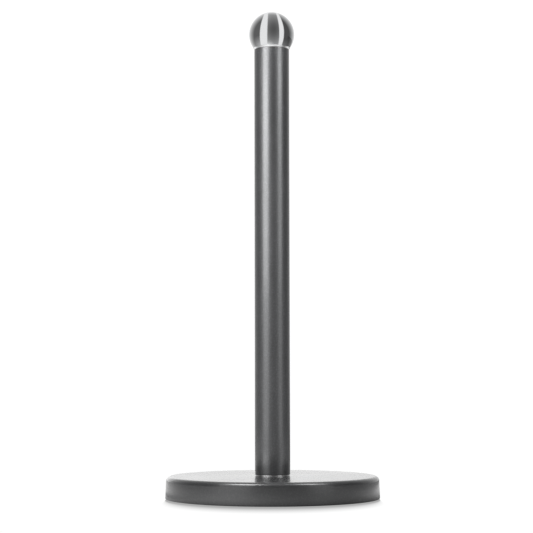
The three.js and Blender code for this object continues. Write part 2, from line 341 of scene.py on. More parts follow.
ballast_low, ballast_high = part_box("ballast_disc")
BALLAST_RADIUS = ballast_high.x
pocket_floor = ballast_high.z - BALLAST_WEB
ballast = turn("ballast", [
    (BALLAST_POCKET, ballast_low.z),
    (BALLAST_RADIUS, ballast_low.z),
    (BALLAST_RADIUS, ballast_high.z - BALLAST_CHAMFER),
    (BALLAST_RADIUS - BALLAST_CHAMFER, ballast_high.z),
    (COVER_HOLE, ballast_high.z),
    (COVER_HOLE, pocket_floor),
    (BALLAST_POCKET, pocket_floor),
])
soften(ballast, CAST_EDGE)
for node in SCREW_NODES:
    screw_middle = middle_of(node)
    drill = turn("drill", [
        (0, ballast_low.z - MM),
        (SCREW_HOLE, ballast_low.z - MM),
        (SCREW_HOLE, ballast_low.z + SCREW_HOLE_DEPTH - SCREW_HOLE / 2),
        (0, ballast_low.z + SCREW_HOLE_DEPTH),
    ], steps=32, middle=screw_middle.xy)
    combine(ballast, drill, "DIFFERENCE")
smooth(ballast)
fit(ballast, CAST_IRON, "base", "cast_iron", "ballast_disc")

# ------------------------------------------------------------------ Bottom plate
# Moulded black plastic disc that closes the underside. It has a window for the bolt's head, a low
# rim round each foot and each countersunk screw hole, and is held by three screws.


def black_plastic_finish():
    finish, tree, shader, place = new_finish("black moulded plastic", Metallic=0.0)
    texture = effect(tree, GRAIN, place, Size=0.5 * MM, Detail=4.0)
    tone = effect(tree, PATCHES, place, Size=24 * MM, Low=0.0, High=1.0)
    tree.links.new(blend_colours(tree, tone, (0.012, 0.012, 0.013), (0.018, 0.018, 0.019)),
                   shader.inputs["Base Color"])
    tree.links.new(effect(tree, PATCHES, place, Size=17 * MM, Low=0.48, High=0.6),
                   shader.inputs["Roughness"])
    bump(tree, shader, (texture, 0.5, 0.06 * MM))
    return finish


BLACK_PLASTIC = black_plastic_finish()
FOOT_NODES = ["rubber_foot_1", "rubber_foot_2", "rubber_foot_3", "rubber_foot_4"]
SCREW_HEAD_RADIUS = 2.8 * MM
PLATE_WINDOW = 14 * MM
RIM_HEIGHT = 0.5 * MM
RIM_WALL = 1.5 * MM
RIM_DRAFT = 0.1 * MM
FOOT_RIM = 9.4 * MM
FOOT_RIM_WALL = 1.1 * MM
FOOT_RIM_ROOT = 0.4 * MM
SINK_WIDENING = 1.1 * MM
MOULD_EDGE = 0.2 * MM

plate_low, plate_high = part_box("bottom_plate")
PLATE_RADIUS = plate_high.x
plate = turn("plate", [
    (PLATE_WINDOW, plate_low.z),
    (PLATE_WINDOW + RIM_DRAFT, plate_low.z - RIM_HEIGHT),
    (PLATE_WINDOW + RIM_WALL - RIM_DRAFT, plate_low.z - RIM_HEIGHT),
    (PLATE_WINDOW + RIM_WALL + RIM_DRAFT, plate_low.z),
    (PLATE_RADIUS, plate_low.z),
    (PLATE_RADIUS, plate_high.z),
    (PLATE_WINDOW, plate_high.z),
])
soften(plate, MOULD_EDGE)
for node in FOOT_NODES:
    rim = turn("rim", [
        (FOOT_RIM - FOOT_RIM_WALL, plate_low.z - RIM_HEIGHT),
        (FOOT_RIM, plate_low.z - RIM_HEIGHT),
        (FOOT_RIM + 2 * RIM_DRAFT, plate_low.z + FOOT_RIM_ROOT),
        (FOOT_RIM - FOOT_RIM_WALL, plate_low.z + FOOT_RIM_ROOT),
    ], steps=64, middle=middle_of(node).xy)
    soften(rim, 0.75 * MOULD_EDGE, segments=2)
    combine(plate, rim, "UNION")
for node in SCREW_NODES:
    sink = turn("sink", [
        (0, plate_low.z - MM),
        (SCREW_HEAD_RADIUS + SINK_WIDENING, plate_low.z - MM),
        (SCREW_HOLE, plate_low.z + SCREW_HEAD_RADIUS - SCREW_RADIUS),
        (SCREW_HOLE, plate_high.z + MM),
        (0, plate_high.z + MM),
    ], steps=48, middle=middle_of(node).xy)
    combine(plate, sink, "DIFFERENCE")
smooth(plate)
fit(plate, BLACK_PLASTIC, "base", "black_plastic", "bottom_plate")

# ------------------------------------------------------------------ Plate screws
# Three M3 countersunk screws of zinc-plated steel with a cross recess. They hold the bottom plate
# to the ballast disc.


def zinc_plate_finish():
    finish, tree, shader, place = new_finish("zinc plated steel", Metallic=1.0)
    tone = effect(tree, PATCHES, place, Size=6 * MM, Low=0.0, High=1.0)
    fine = effect(tree, GRAIN, place, Size=0.4 * MM, Detail=5.0)
    tree.links.new(blend_colours(tree, tone, (0.55, 0.57, 0.58), (0.66, 0.67, 0.655)),
                   shader.inputs["Base Color"])
    tree.links.new(effect(tree, PATCHES, place, Size=3 * MM, Low=0.24, High=0.38),
                   shader.inputs["Roughness"])
    bump(tree, shader, (fine, 0.3, 0.02 * MM))
    return finish


THREAD_DEPTH = 0.61
CUT_TOLERANCE = MM / 10000


def threaded_rod(name, crest, pitch, bottom, top, clearance=0.0, steps=32):
    """Rod with a right-hand thread, cut flat at both ends. The thread's place depends only on
    height, so a rod and a nut of one pitch mesh. A clearance makes the cutter for a nut."""
    root = crest - THREAD_DEPTH * pitch + clearance
    peak = crest + clearance
    first = (math.floor(bottom / pitch) - 1) * pitch
    tooth = [(root, 0.0), (root, 0.12), (peak, 0.44), (peak, 0.56), (root, 0.88), (root, 1.0)]
    bpy.ops.object.select_all(action="DESELECT")
    bpy.ops.mesh.primitive_plane_add(size=MM / 10, location=(root, 0, first))
    rod = bpy.context.object
    rod.name = rod.data.name = name
    bpy.ops.object.transform_apply(location=True, rotation=True, scale=True)
    bpy.ops.object.mode_set(mode="EDIT")
    bpy.ops.mesh.select_all(action="SELECT")
    bpy.ops.mesh.merge(type="CENTER")
    for (r0, z0), (r1, z1) in zip(tooth, tooth[1:]):
        bpy.ops.mesh.extrude_region_move(
            TRANSFORM_OT_translate={"value": (r1 - r0, 0, (z1 - z0) * pitch)})
    bpy.ops.object.mode_set(mode="OBJECT")
    helix = rod.modifiers.new("thread", "SCREW")
    helix.screw_offset = pitch
    helix.iterations = math.ceil((top - first) / pitch) + 1
    helix.steps = helix.render_steps = steps
    helix.use_merge_vertices = True
    helix.merge_threshold = MERGE_DISTANCE
    bpy.ops.object.modifier_apply(modifier=helix.name)
    bpy.ops.object.mode_set(mode="EDIT")
    bpy.ops.mesh.select_all(action="SELECT")
    bpy.ops.mesh.remove_doubles(threshold=MERGE_DISTANCE)
    bpy.ops.mesh.select_all(action="SELECT")
    bpy.ops.mesh.bisect(plane_co=(0, 0, top), plane_no=(0, 0, 1), use_fill=True,
                        clear_outer=True, threshold=CUT_TOLERANCE)
    bpy.ops.mesh.select_all(action="SELECT")
    bpy.ops.mesh.bisect(plane_co=(0, 0, bottom), plane_no=(0, 0, 1), use_fill=True,
                        clear_inner=True, threshold=CUT_TOLERANCE)
    bpy.ops.mesh.select_all(action="SELECT")
    bpy.ops.mesh.normals_make_consistent(inside=False)
    bpy.ops.object.mode_set(mode="OBJECT")
    return rod


ZINC_PLATE = zinc_plate_finish()
SCREW_PITCH = 0.5 * MM
RECESS_WIDTH = 0.75 * MM
RECESS_REACH = 1.75 * MM
RECESS_DEPTH = 1.0 * MM
RECESS_TURN = math.pi / 5
HEAD_EDGE = 0.1 * MM
SCREW_POINT = 1.4 * MM


def plate_screw(low, high):
    """Screw on the upright axis, between the heights of two corners."""
    cone = low.z + SCREW_HEAD_RADIUS - SCREW_RADIUS
    screw = turn("countersunk_screw", [
        (0, low.z),
        (SCREW_HEAD_RADIUS - 1.5 * HEAD_EDGE, low.z),
        (SCREW_HEAD_RADIUS, low.z + HEAD_EDGE),
        (SCREW_HEAD_RADIUS - HEAD_EDGE / 2, low.z + 2 * HEAD_EDGE),
        (SCREW_RADIUS, cone + HEAD_EDGE),
        (SCREW_RADIUS - 2 * HEAD_EDGE, cone + 3 * HEAD_EDGE),
        (0, cone + 3 * HEAD_EDGE),
    ], steps=48)
    shank = threaded_rod("shank", SCREW_RADIUS, SCREW_PITCH, cone - HEAD_EDGE, high.z,
                         steps=24)
    point = turn("point", [
        (0, low.z - MM),
        (SCREW_RADIUS + MM, low.z - MM),
        (SCREW_RADIUS + MM, high.z - SCREW_POINT),
        (SCREW_RADIUS - MM / 2, high.z),
        (0, high.z),
    ], steps=24)
    combine(shank, point, "INTERSECT")
    combine(screw, shank, "UNION")
    for quarter in (0, math.pi / 2):
        bpy.ops.object.select_all(action="DESELECT")
        bpy.ops.mesh.primitive_cube_add(size=1, location=(0, 0, low.z))
        slot = bpy.context.object
        slot.scale = (2 * RECESS_REACH, RECESS_WIDTH, 2 * RECESS_DEPTH)
        slot.rotation_euler = (0, 0, quarter + RECESS_TURN)
        bpy.ops.object.transform_apply(location=True, rotation=True, scale=True)
        combine(screw, slot, "DIFFERENCE")
    return screw


pattern = plate_screw(*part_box(SCREW_NODES[0]))
smooth(pattern, 30)
for index, node in enumerate(SCREW_NODES):
    screw = pattern.copy()
    screw.data = pattern.data.copy()
    screw.name = screw.data.name = f"countersunk_screw_{index + 1}"
    screw.location = (*middle_of(node).xy, 0)
    bpy.context.collection.objects.link(screw)
    bpy.ops.object.select_all(action="DESELECT")
    screw.select_set(True)
    bpy.context.view_layer.objects.active = screw
    bpy.ops.object.transform_apply(location=True, rotation=True, scale=True)
    fit(screw, ZINC_PLATE, "base", "zinc_plate", node)
bpy.data.objects.remove(pattern)

# ------------------------------------------------------------------ Rubber feet
# Four round feet moulded in soft black rubber, glued inside the rims of the bottom plate. Each has
# a shallow ring groove that helps it grip.


def rubber_finish():
    finish, tree, shader, place = new_finish("black rubber", Metallic=0.0)
    texture = effect(tree, GRAIN, place, Size=0.35 * MM, Detail=4.0)
    dust = effect(tree, PATCHES, place, Size=5 * MM, Low=0.0, High=1.0)
    tree.links.new(blend_colours(tree, dust, (0.010, 0.010, 0.010), (0.022, 0.021, 0.020)),
                   shader.inputs["Base Color"])
    tree.links.new(effect(tree, PATCHES, place, Size=7 * MM, Low=0.72, High=0.9),
                   shader.inputs["Roughness"])
    bump(tree, shader, (texture, 0.6, 0.05 * MM))
    return finish


RUBBER = rubber_finish()
FOOT_GROOVE = 4.8 * MM
FOOT_GROOVE_WIDTH = 0.8 * MM
FOOT_GROOVE_DEPTH = 0.4 * MM
FOOT_GROOVE_DRAFT = 0.15 * MM
FOOT_ROUND = 0.6 * MM

for index, node in enumerate(FOOT_NODES):
    low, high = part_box(node)
    radius = (high.x - low.x) / 2
    foot = turn(f"grip_foot_{index + 1}", [
        (0, low.z),
        (FOOT_GROOVE, low.z),
        (FOOT_GROOVE + FOOT_GROOVE_DRAFT, low.z + FOOT_GROOVE_DEPTH),
        (FOOT_GROOVE + FOOT_GROOVE_WIDTH - FOOT_GROOVE_DRAFT, low.z + FOOT_GROOVE_DEPTH),
        (FOOT_GROOVE + FOOT_GROOVE_WIDTH, low.z),
        *arc(radius - FOOT_ROUND, low.z + FOOT_ROUND, FOOT_ROUND, -90, 0, 5),
        (radius, high.z),
        (0, high.z),
    ], steps=64, middle=middle_of(node).xy)
    smooth(foot)
    fit(foot, RUBBER, "base", "rubber", node)

# ------------------------------------------------------------------ Base bolt
# M8 x 25 hexagon bolt of zinc-plated steel, head down in the ballast disc's counterbore. Its
# thread stands up through the cover, and the post screws down onto it.

BOLT_RADIUS = 4 * MM
BOLT_PITCH = 1.25 * MM
BOLT_HEAD_HEIGHT = 5.3 * MM
BOLT_FLATS = 13 * MM
CROWN_WIDENING = 1.3 * MM
CROWN_DROP = 0.9 * MM
CROWN_EDGE = 0.25 * MM

bolt_low, bolt_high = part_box("base_bolt")
head_top = bolt_low.z + BOLT_HEAD_HEIGHT
bpy.ops.object.select_all(action="DESELECT")
bpy.ops.mesh.primitive_cylinder_add(
    vertices=6, radius=BOLT_FLATS / math.sqrt(3), depth=BOLT_HEAD_HEIGHT,
    location=(0, 0, bolt_low.z + BOLT_HEAD_HEIGHT / 2))
bolt = bpy.context.object
bolt.name = bolt.data.name = "hexagon_bolt"
bpy.ops.object.transform_apply(location=True, rotation=True, scale=True)
crown = turn("crown", [
    (0, bolt_low.z),
    (BOLT_FLATS / 2 - 0.3 * MM, bolt_low.z),
    (BOLT_FLATS / 2 + CROWN_WIDENING, bolt_low.z + CROWN_DROP),
    (BOLT_FLATS / 2 + CROWN_WIDENING, head_top - CROWN_EDGE),
    (BOLT_FLATS / 2 - 0.2 * MM, head_top),
    (0, head_top),
], steps=96)
combine(bolt, crown, "INTERSECT")
shank = threaded_rod("shank", BOLT_RADIUS, BOLT_PITCH, head_top - MM / 2, bolt_high.z,
                     steps=48)
point = turn("point", [
    (0, head_top - MM),
    (BOLT_RADIUS + MM, head_top - MM),
    (BOLT_RADIUS + MM, bolt_high.z - 2 * MM),
    (BOLT_RADIUS - MM, bolt_high.z),
    (0, bolt_high.z),
], steps=48)
combine(shank, point, "INTERSECT")
combine(bolt, shank, "UNION")
smooth(bolt, 30)
fit(bolt, ZINC_PLATE, "base", "zinc_plate", "base_bolt")

# ------------------------------------------------------------------ Washers
# A plain washer and a split lock washer, both zinc-plated steel, between the bolt's head and the
# ballast disc.

WASHER_BORE = 4.3 * MM
SPLIT_ANGLE = math.radians(8)
WASHER_EDGE = 0.2 * MM

flat_low, flat_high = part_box("flat_washer")
flat_washer = turn("plain_washer", [
    (WASHER_BORE, flat_low.z),
    (flat_high.x, flat_low.z),
    (flat_high.x, flat_high.z),
    (WASHER_BORE, flat_high.z),
], steps=96)
soften(flat_washer, WASHER_EDGE)
smooth(flat_washer)
fit(flat_washer, ZINC_PLATE, "base", "zinc_plate", "flat_washer")

lock_low, lock_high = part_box("spring_washer")
lock_width = lock_high.y - WASHER_BORE
bpy.ops.object.select_all(action="DESELECT")
bpy.ops.mesh.primitive_plane_add(
    size=1, rotation=(math.pi / 2, 0, 0),
    location=(WASHER_BORE + lock_width / 2, 0, (lock_low.z + lock_high.z) / 2))
lock_washer = bpy.context.object
lock_washer.name = lock_washer.data.name = "split_washer"
lock_washer.scale = (lock_width, lock_high.z - lock_low.z, 1)
bpy.ops.object.transform_apply(location=True, rotation=True, scale=True)
bpy.ops.object.mode_set(mode="EDIT")
bpy.ops.mesh.select_all(action="SELECT")
bpy.ops.transform.rotate(value=-SPLIT_ANGLE / 2, orient_axis="Z", center_override=(0, 0, 0))
bpy.ops.mesh.spin(steps=72, angle=2 * math.pi - SPLIT_ANGLE, center=(0, 0, 0), axis=(0, 0, 1))
bpy.ops.mesh.select_all(action="SELECT")
bpy.ops.mesh.normals_make_consistent(inside=False)
bpy.ops.object.mode_set(mode="OBJECT")
soften(lock_washer, WASHER_EDGE)
smooth(lock_washer)
fit(lock_washer, ZINC_PLATE, "base", "zinc_plate", "spring_washer")

# ------------------------------------------------------------------ Foot ring
# Thin chrome-plated ring snapped onto the foot plug's neck. It keeps the tube's edge a hair above
# the cover, so that neither coat is scratched.


def satin_chrome_finish():
    finish, tree, shader, place = new_finish("satin chrome", Metallic=1.0)
    tone = effect(tree, PATCHES, place, Size=8 * MM, Low=0.0, High=1.0)
    lines = effect(tree, GRAIN, place, Size=0.3 * MM, Detail=3.0)
    tree.links.new(blend_colours(tree, tone, (0.9, 0.905, 0.91), (0.94, 0.94, 0.94)),
                   shader.inputs["Base Color"])
    tree.links.new(effect(tree, PATCHES, place, Size=4 * MM, Low=0.28, High=0.36),
                   shader.inputs["Roughness"])
    bump(tree, shader, (lines, 0.1, 0.01 * MM))
    return finish


SATIN_CHROME = satin_chrome_finish()
RING_BORE = 6.3 * MM
RING_BREAK = 0.12 * MM

foot_ring_low, foot_ring_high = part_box("foot_ring")
foot_ring = turn("chrome_foot_ring", [
    (RING_BORE, foot_ring_low.z),
    (foot_ring_high.x, foot_ring_low.z),
    (foot_ring_high.x, foot_ring_high.z),
    (RING_BORE, foot_ring_high.z),
])
soften(foot_ring, RING_BREAK, segments=3)
smooth(foot_ring)
fit(foot_ring, SATIN_CHROME, "post_carrier", "chrome", "foot_ring")

# ------------------------------------------------------------------ Post tube
# Straight 1 inch steel tube with a 1.2 mm wall, cut square with its edges broken, and powder
# coated like the cover. Paper rolls slide down over it.

# The tube's copy keeps the coat's full colours; the cover's darker copy is painted shade.
TUBE_COAT = powder_coat_finish("charcoal tube coat", 1.0, 0.6)
TUBE_WALL = 1.2 * MM
TUBE_EDGE = 0.3 * MM

tube_low, tube_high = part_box("post_tube")
TUBE_RADIUS = tube_high.x
tube_bore = TUBE_RADIUS - TUBE_WALL
tube_span = tube_high.z - tube_low.z
tube = turn("tube", [
    (tube_bore, tube_low.z),
    *arc(TUBE_RADIUS - TUBE_EDGE, tube_low.z + TUBE_EDGE, TUBE_EDGE, -90, 0, 4),
    *[(TUBE_RADIUS, tube_low.z + tube_span * share / 8) for share in range(1, 8)],
    *arc(TUBE_RADIUS - TUBE_EDGE, tube_high.z - TUBE_EDGE, TUBE_EDGE, 0, 90, 4),
    (tube_bore, tube_high.z),
])
smooth(tube)
fit(tube, TUBE_COAT, "post", "powder_coat", "post_tube")

# ------------------------------------------------------------------ Plugs
# Two turned steel plugs, zinc plated and pressed into the tube's ends. The lower one has an M8
# thread for the base bolt and a neck for the foot ring, the upper one an M6 thread for the ball.

STUD_RADIUS = 3 * MM
STUD_PITCH = 1 * MM
PLUG_CLEARANCE = 0.1 * MM
PLUG_GROOVE = 0.4 * MM
NECK_RADIUS = 6.2 * MM
PLUG_EDGE = 0.12 * MM
MOUTH_DEPTH = 1.3 * MM
MOUTH_DRAFT = 0.3 * MM

foot_plug_low, foot_plug_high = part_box("foot_plug")
PLUG_RADIUS = foot_plug_high.x
foot_plug_middle = (tube_low.z + foot_plug_high.z) / 2
foot_plug = turn("foot_insert", [
    (0, foot_plug_low.z),
    (NECK_RADIUS, foot_plug_low.z),
    (NECK_RADIUS, tube_low.z),
    (PLUG_RADIUS, tube_low.z),
    (PLUG_RADIUS, foot_plug_middle - MM),
    (PLUG_RADIUS - PLUG_GROOVE, foot_plug_middle - MM / 2),
    (PLUG_RADIUS - PLUG_GROOVE, foot_plug_middle + MM / 2),
    (PLUG_RADIUS, foot_plug_middle + MM),
    (PLUG_RADIUS, foot_plug_high.z - MM),
    (PLUG_RADIUS - MM, foot_plug_high.z),
    (0, foot_plug_high.z),
])
soften(foot_plug, PLUG_EDGE, segments=2)
tap = threaded_rod("tap", BOLT_RADIUS, BOLT_PITCH, foot_plug_low.z - MM,
                   foot_plug_high.z + MM, clearance=PLUG_CLEARANCE, steps=48)
combine(foot_plug, tap, "DIFFERENCE")
smooth(foot_plug, 30)
fit(foot_plug, ZINC_PLATE, "post", "zinc_plate", "foot_plug")

top_plug_low, top_plug_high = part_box("top_plug")
top_plug_middle = (top_plug_low.z + top_plug_high.z) / 2
top_plug = turn("top_insert", [
    (0, top_plug_low.z),
    (PLUG_RADIUS - MM, top_plug_low.z),
    (PLUG_RADIUS, top_plug_low.z + MM),
    (PLUG_RADIUS, top_plug_middle - MM),
    (PLUG_RADIUS - PLUG_GROOVE, top_plug_middle - MM / 2),
    (PLUG_RADIUS - PLUG_GROOVE, top_plug_middle + MM / 2),
    (PLUG_RADIUS, top_plug_middle + MM),
    (PLUG_RADIUS, top_plug_high.z),
    (STUD_RADIUS + MM, top_plug_high.z),
    (STUD_RADIUS - MOUTH_DRAFT, top_plug_high.z - MOUTH_DEPTH),
    (0, top_plug_high.z - MOUTH_DEPTH),
])
tap = threaded_rod("tap", STUD_RADIUS, STUD_PITCH, top_plug_low.z - MM,
                   top_plug_high.z + MM, clearance=PLUG_CLEARANCE, steps=40)
combine(top_plug, tap, "DIFFERENCE")
smooth(top_plug, 30)
fit(top_plug, ZINC_PLATE, "post", "zinc_plate", "top_plug")

# ------------------------------------------------------------------ Finial ring
# Thin chrome-plated ring between the tube's top and the ball. Its edge slopes inwards to the
# tube, and it covers the tube's cut edge.

FINIAL_RING_BORE = 3.3 * MM
RING_SLOPE = 0.95 * MM
RING_EDGE = 0.06 * MM
RING_POLISH = 0.02 * MM

finial_ring_low, finial_ring_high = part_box("finial_ring")
finial_ring = turn("chrome_finial_ring", [
    (FINIAL_RING_BORE, finial_ring_low.z),
    (finial_ring_high.x - RING_SLOPE, finial_ring_low.z),
    (finial_ring_high.x, finial_ring_high.z - RING_EDGE),
    (finial_ring_high.x - RING_EDGE, finial_ring_high.z),
    (FINIAL_RING_BORE, finial_ring_high.z),
])
soften(finial_ring, RING_POLISH, segments=2)
smooth(finial_ring)
fit(finial_ring, SATIN_CHROME, "finial_carrier", "chrome", "finial_ring")

# ------------------------------------------------------------------ Finial ball
# Steel ball, mirror polished and chrome plated, with a flat turned on its underside and a blind
# hole for its stud. It is a handle for carrying the holder.


def chrome_finish():
    finish, tree, shader, place = new_finish("polished chrome", Metallic=1.0)
    tone = effect(tree, PATCHES, place, Size=30 * MM, Low=0.0, High=1.0)
    ripple = effect(tree, GRAIN, place, Size=9 * MM, Detail=1.0)
    tree.links.new(blend_colours(tree, tone, (0.86, 0.87, 0.88), (0.89, 0.895, 0.9)),
                   shader.inputs["Base Color"])
    tree.links.new(effect(tree, PATCHES, place, Size=12 * MM, Low=0.04, High=0.075),
                   shader.inputs["Roughness"])
    bump(tree, shader, (ripple, 0.05, 0.05 * MM))
    return finish


CHROME = chrome_finish()
BALL_HOLE_DEPTH = 12.5 * MM
BALL_HOLE_RADIUS = 3.1 * MM
BALL_EDGE = 0.12 * MM

ball_low, ball_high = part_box("finial_ball")
BALL_RADIUS = ball_high.x
ball_centre = ball_high.z - BALL_RADIUS
bpy.ops.object.select_all(action="DESELECT")
bpy.ops.mesh.primitive_uv_sphere_add(
    segments=160, ring_count=80, radius=BALL_RADIUS, location=(0, 0, ball_centre))
ball = bpy.context.object
ball.name = ball.data.name = "polished_ball"
bpy.ops.object.transform_apply(location=True, rotation=True, scale=True)
bpy.ops.object.mode_set(mode="EDIT")
bpy.ops.mesh.select_all(action="SELECT")
bpy.ops.mesh.bisect(plane_co=(0, 0, ball_low.z), plane_no=(0, 0, 1), use_fill=True,
                    clear_inner=True)
bpy.ops.object.mode_set(mode="OBJECT")
soften(ball, BALL_EDGE, segments=4, angle=28)
hole = turn("hole", [
    (0, ball_low.z - MM),
    (BALL_HOLE_RADIUS, ball_low.z - MM),
    (BALL_HOLE_RADIUS, ball_low.z + BALL_HOLE_DEPTH - MM),
    (0, ball_low.z + BALL_HOLE_DEPTH),
], steps=48)
combine(ball, hole, "DIFFERENCE")
smooth(ball, 30)
fit(ball, CHROME, "finial", "chrome", "finial_ball")

# ------------------------------------------------------------------ Finial stud
# M6 threaded stud of zinc-plated steel, glued into the ball. It screws down into the top plug.

STUD_POINT = 0.7 * MM
STUD_TAPER = 1.2 * MM

stud_low, stud_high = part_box("finial_stud")
stud = threaded_rod("threaded_stud", STUD_RADIUS, STUD_PITCH, stud_low.z, stud_high.z, steps=40)
ends = turn("ends", [
    (0, stud_low.z),
    (STUD_RADIUS - STUD_POINT, stud_low.z),
    (STUD_RADIUS + STUD_TAPER - STUD_POINT, stud_low.z + STUD_TAPER),
    (STUD_RADIUS + STUD_TAPER - STUD_POINT, stud_high.z - STUD_TAPER),
    (STUD_RADIUS - STUD_POINT, stud_high.z),
    (0, stud_high.z),
], steps=40)
combine(stud, ends, "INTERSECT")
smooth(stud, 30)
fit(stud, ZINC_PLATE, "finial", "zinc_plate", "finial_stud")

# ------------------------------------------------------------------ Studio
# Pale floor with a painted soft shadow in front of the base, white backdrop, and a darker surround
# in front with two tall light slots, which shows in the polished pieces. In reflections the floor
# glows as a painted pool of light. Upright panels on both sides light the coated pieces, two stand
# behind for the top of the cover, and two light the finial ring.

CAMERA_DISTANCE = 1.2253
CAMERA_HEIGHT = 0.0926
BALL_SIGHT = math.atan2(ball_centre - CAMERA_HEIGHT, CAMERA_DISTANCE)
SLOT_BLUR = 0.02
SLOT_LIGHT = 0.87
BACKDROP_REACH = 0.63
BACKDROP_LIGHT = 0.98
HOLLOW_ASIDE, HOLLOW_ABOVE = 0.07, 0.25
HOLLOW_WIDTH_RISE, HOLLOW_HEIGHT_RISE = 1.1, 0.55
DARK_SPAN = 0.6
DARK_LEFT, DARK_RIGHT = 0.12, 0.08


def surround_group():
    """Light that comes from a direction: dark in front, white behind, and two bright slots.
    It is laid out by where a mirror ball, looked at from the front, shows that direction."""
    group, given, made = new_group("surround", [("Direction", None)], ["Dark", "Light"])
    sight = Vector((0, math.cos(BALL_SIGHT), math.sin(BALL_SIGHT)))
    upward = Vector((0, -math.sin(BALL_SIGHT), math.cos(BALL_SIGHT)))

    def vector_node(operation, first, second=None):
        node = group.nodes.new("ShaderNodeVectorMath")
        node.operation = operation
        group.links.new(first, node.inputs[0])
        if second is not None:
            node.inputs[1].default_value = second
        return node

    # A unit vector half way between the way to the lens and the direction.
    halfway = vector_node("NORMALIZE", vector_node(
        "SUBTRACT", given.outputs["Direction"], sight).outputs[0]).outputs[0]
    across = vector_node("DOT_PRODUCT", halfway, (1, 0, 0)).outputs["Value"]
    height = vector_node("DOT_PRODUCT", halfway, upward).outputs["Value"]
    facing = vector_node("DOT_PRODUCT", halfway, -sight).outputs["Value"]

    def edge(middle, bend, widest):
        """How far the direction lies to the right of an edge bowed about its widest height."""
        lift = sum_node(group, "SUBTRACT", height, widest)
        bow = sum_node(group, "MULTIPLY", lift, lift)
        curve = sum_node(group, "ADD", sum_node(group, "MULTIPLY", bow, bend), middle)
        return ramp_node(group, sum_node(group, "SUBTRACT", across, curve),
                         -SLOT_BLUR, SLOT_BLUR)

    left_outer = edge(middle=-0.52, bend=0.24, widest=0)
    left_inner = edge(middle=-0.195, bend=0.05, widest=0)
    right_inner = edge(middle=0.337, bend=-0.195, widest=0.1)
    right_outer = edge(middle=0.54, bend=-0.36, widest=0.1)
    left_slot = sum_node(group, "SUBTRACT", left_outer, left_inner)
    between = sum_node(group, "SUBTRACT", left_inner, right_inner)
    right_slot = sum_node(group, "SUBTRACT", right_inner, right_outer)
    # The backdrop is bright at the ball's rim. Between the slots it is darkest at the hollow.
    backdrop = group.nodes.new("ShaderNodeMapRange")
    group.links.new(facing, backdrop.inputs["Value"])
    for label, limit in (("From Max", BACKDROP_REACH), ("To Min", BACKDROP_LIGHT),
                         ("To Max", 0.0)):
        backdrop.inputs[label].default_value = limit
    aside = sum_node(group, "SUBTRACT", across, HOLLOW_ASIDE)
    above = sum_node(group, "SUBTRACT", height, HOLLOW_ABOVE)
    hollow = sum_node(
        group, "ADD",
        sum_node(group, "MULTIPLY", sum_node(group, "MULTIPLY", aside, aside),
                 HOLLOW_WIDTH_RISE),
        sum_node(group, "MULTIPLY", sum_node(group, "MULTIPLY", above, above),
                 HOLLOW_HEIGHT_RISE))
    shade = sum_node(group, "MAXIMUM", backdrop.outputs["Result"],
                     sum_node(group, "MULTIPLY", hollow, between))
    dark = sum_node(group, "ADD", ramp_node(
        group, across, -DARK_SPAN, DARK_SPAN, DARK_LEFT, DARK_RIGHT), shade)
    slots = sum_node(group, "ADD", left_slot, right_slot)
    group.links.new(sum_node(group, "MULTIPLY", dark, sum_node(
        group, "SUBTRACT", 1.0, slots)), made.inputs["Dark"])
    group.links.new(sum_node(group, "MULTIPLY", slots, SLOT_LIGHT), made.inputs["Light"])
    return group


SURROUND = surround_group()


def use_surround(tree, way):
    """Places the surround in a tree, and gives its dark part and its slots."""
    node = tree.nodes.new("ShaderNodeGroup")
    node.node_tree = SURROUND
    tree.links.new(way, node.inputs["Direction"])
    return node.outputs["Dark"], node.outputs["Light"]


FLOOR_SIZE = 12.0
FLOOR_LIGHT = 1.02
# The floor glows in reflections, though it is no lamp: a painted pool of light round the object,
# painted shade next to the base and a painted glow below the plate.
FLOOR_FAR_LIGHT = 0.05
FLOOR_NEAR_LIGHT = (0.055, 0.009)
SLOT_START = (0.09, 0.13)
UNDER_LIGHT = 0.1
UNDER_REACH = 0.06
PLATE_LIGHT = 0.7
# Painted contact shadow on the floor, as the lens sees it: darkest at the base's edge in front,
# fading over a reach that shrinks to the sides.
CONTACT_SHADOW = 0.054
CONTACT_DEPTH = 0.6
CONTACT_FALL = 1.6
CONTACT_LEAST = 0.03


